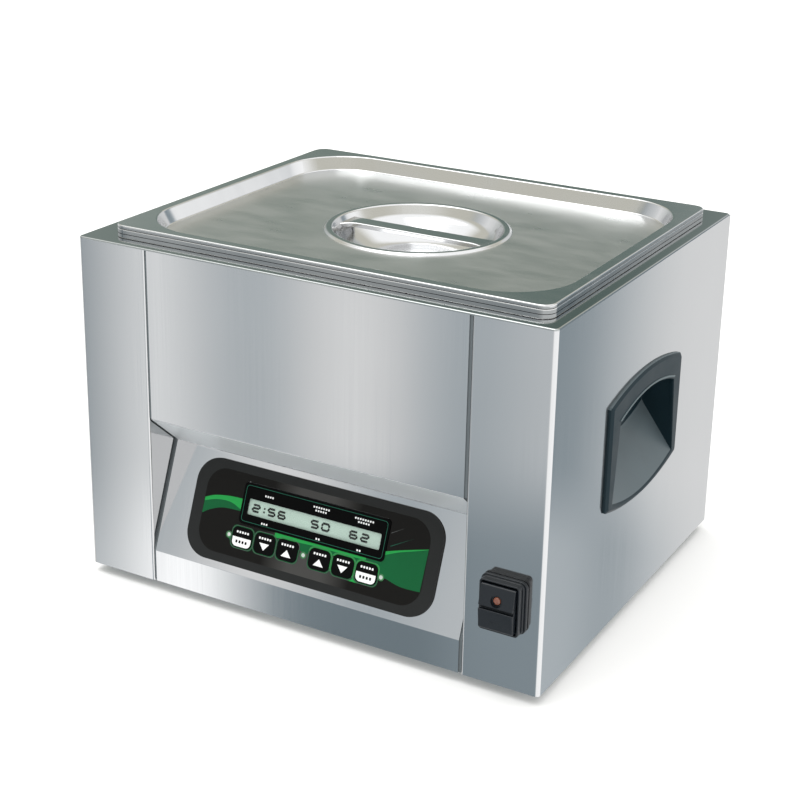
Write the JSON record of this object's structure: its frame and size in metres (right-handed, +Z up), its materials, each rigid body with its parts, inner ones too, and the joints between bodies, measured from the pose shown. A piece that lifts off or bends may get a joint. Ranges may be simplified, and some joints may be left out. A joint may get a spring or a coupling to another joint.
{
  "type": "sous vide water bath",
  "caption": "Table-top stainless sous vide water bath with a lidded drawn tank, a sloping control console, a lit rocker switch and pocket side grips.",
  "frame": {"origin": "middle of the object's footprint box, on the surface that its feet stand on", "axes": "+X to the right-hand side grip, -Y to the front with the console, +Z up"},
  "size_m": [0.358, 0.3165, 0.2559],
  "materials": {
    "casing_steel": "fine vertical-grain brushed stainless sheet",
    "polished_steel": "bright drawn stainless, near mirror",
    "perforated_steel": "satin stainless sheet with punched holes",
    "screw_steel": "plated machine screws",
    "grip_plastic": "satin moulded blue-grey plastic",
    "overlay_film": "printed satin membrane film, dark grey with a green band",
    "key_film": "black satin film over a snap dome",
    "bezel_black": "gloss black display frame with a thin green line",
    "display_clear": "clear flat window",
    "lcd": "pale grey-green liquid crystal panel",
    "lamp_white": "milky white indicator lens",
    "switch_black": "semi-gloss black moulded plastic",
    "technical_black": "matt black moulded plastic",
    "amber_lens": "translucent amber lamp lens",
    "fuse_glass": "glass tube fuse with metal caps",
    "pin_brass": "nickel-plated brass",
    "gasket_rubber": "black rubber",
    "foot_rubber": "matt black rubber",
    "heater_silicone": "orange-brown silicone rubber",
    "aluminium": "mill-finish aluminium",
    "insulation": "off-white needled glass felt",
    "board_green": "green glass-epoxy board",
    "core_steel": "varnished laminations"
  },
  "bodies": {
    "casing": {"base_plate": "casing_steel", "left_side_panel": "casing_steel", "right_side_panel": "casing_steel", "front_panel": "casing_steel", "back_panel": "casing_steel", "top_deck": "casing_steel", "tank": "polished_steel", "temperature_probe": "polished_steel", "false_bottom": "perforated_steel", "back_screw_1": "screw_steel", "back_screw_2": "screw_steel", "back_screw_3": "screw_steel", "back_screw_4": "screw_steel", "inlet_screw_1": "screw_steel", "inlet_screw_2": "screw_steel", "left_grip": "grip_plastic", "right_grip": "grip_plastic", "keypad_overlay": "overlay_film", "display_bezel": "bezel_black", "display_window": "display_clear", "lcd_module": "lcd", "timer_lamp": "lamp_white", "line_lamp": "lamp_white", "heat_lamp": "lamp_white", "switch_bezel": "switch_black", "switch_body": "technical_black", "mains_inlet": "technical_black", "solid_state_relay": "technical_black", "thermal_cutout": "technical_black", "inlet_live_pin": "pin_brass", "inlet_neutral_pin": "pin_brass", "inlet_earth_pin": "pin_brass", "tank_gasket": "gasket_rubber", "control_lead": "gasket_rubber", "front_left_foot": "foot_rubber", "back_left_foot": "foot_rubber", "front_right_foot": "foot_rubber", "back_right_foot": "foot_rubber", "heater_mat": "heater_silicone", "heater_lead": "heater_silicone", "heater_clamp_plate": "aluminium", "heat_sink": "aluminium", "insulation_pad": "insulation", "control_board": "board_green", "power_board": "board_green", "transformer": "core_steel"},
    "lid": {"lid": "polished_steel", "lid_handle_bar": "polished_steel"},
    "rocker": {"power_rocker": "switch_black", "rocker_lens": "amber_lens"},
    "fuse_drawer": {"fuse_drawer": "technical_black", "fuse": "fuse_glass"},
    "timer_start_button": {"timer_start_key": "key_film"},
    "time_down_button": {"time_down_key": "key_film"},
    "time_up_button": {"time_up_key": "key_film"},
    "temperature_up_button": {"temperature_up_key": "key_film"},
    "temperature_down_button": {"temperature_down_key": "key_film"},
    "heat_start_button": {"heat_start_key": "key_film"}
  },
  "joints": [
    {"name": "lid_lift", "type": "slide", "parent": "casing", "child": "lid", "axis": [0, 0, 1], "range_m": [0, 0.08]},
    {"name": "power_rocker_tilt", "type": "hinge", "parent": "casing", "child": "rocker", "pos_m": [0.1504, -0.15095, 0.067], "axis": [1, 0, 0], "range_deg": [0, 9]},
    {"name": "fuse_drawer_slide", "type": "slide", "parent": "casing", "child": "fuse_drawer", "axis": [0, 1, 0], "range_m": [0, 0.02]},
    {"name": "timer_start_press", "type": "slide", "parent": "casing", "child": "timer_start_button", "axis": [0, 0.9312, -0.3644], "range_m": [0, 0.0005], "stiffness_N_per_m": 300, "springref_m": -0.0002},
    {"name": "time_down_press", "type": "slide", "parent": "casing", "child": "time_down_button", "axis": [0, 0.9312, -0.3644], "range_m": [0, 0.0005], "stiffness_N_per_m": 300, "springref_m": -0.0002},
    {"name": "time_up_press", "type": "slide", "parent": "casing", "child": "time_up_button", "axis": [0, 0.9312, -0.3644], "range_m": [0, 0.0005], "stiffness_N_per_m": 300, "springref_m": -0.0002},
    {"name": "temperature_up_press", "type": "slide", "parent": "casing", "child": "temperature_up_button", "axis": [0, 0.9312, -0.3644], "range_m": [0, 0.0005], "stiffness_N_per_m": 300, "springref_m": -0.0002},
    {"name": "temperature_down_press", "type": "slide", "parent": "casing", "child": "temperature_down_button", "axis": [0, 0.9312, -0.3644], "range_m": [0, 0.0005], "stiffness_N_per_m": 300, "springref_m": -0.0002},
    {"name": "heat_start_press", "type": "slide", "parent": "casing", "child": "heat_start_button", "axis": [0, 0.9312, -0.3644], "range_m": [0, 0.0005], "stiffness_N_per_m": 300, "springref_m": -0.0002}
  ]
}
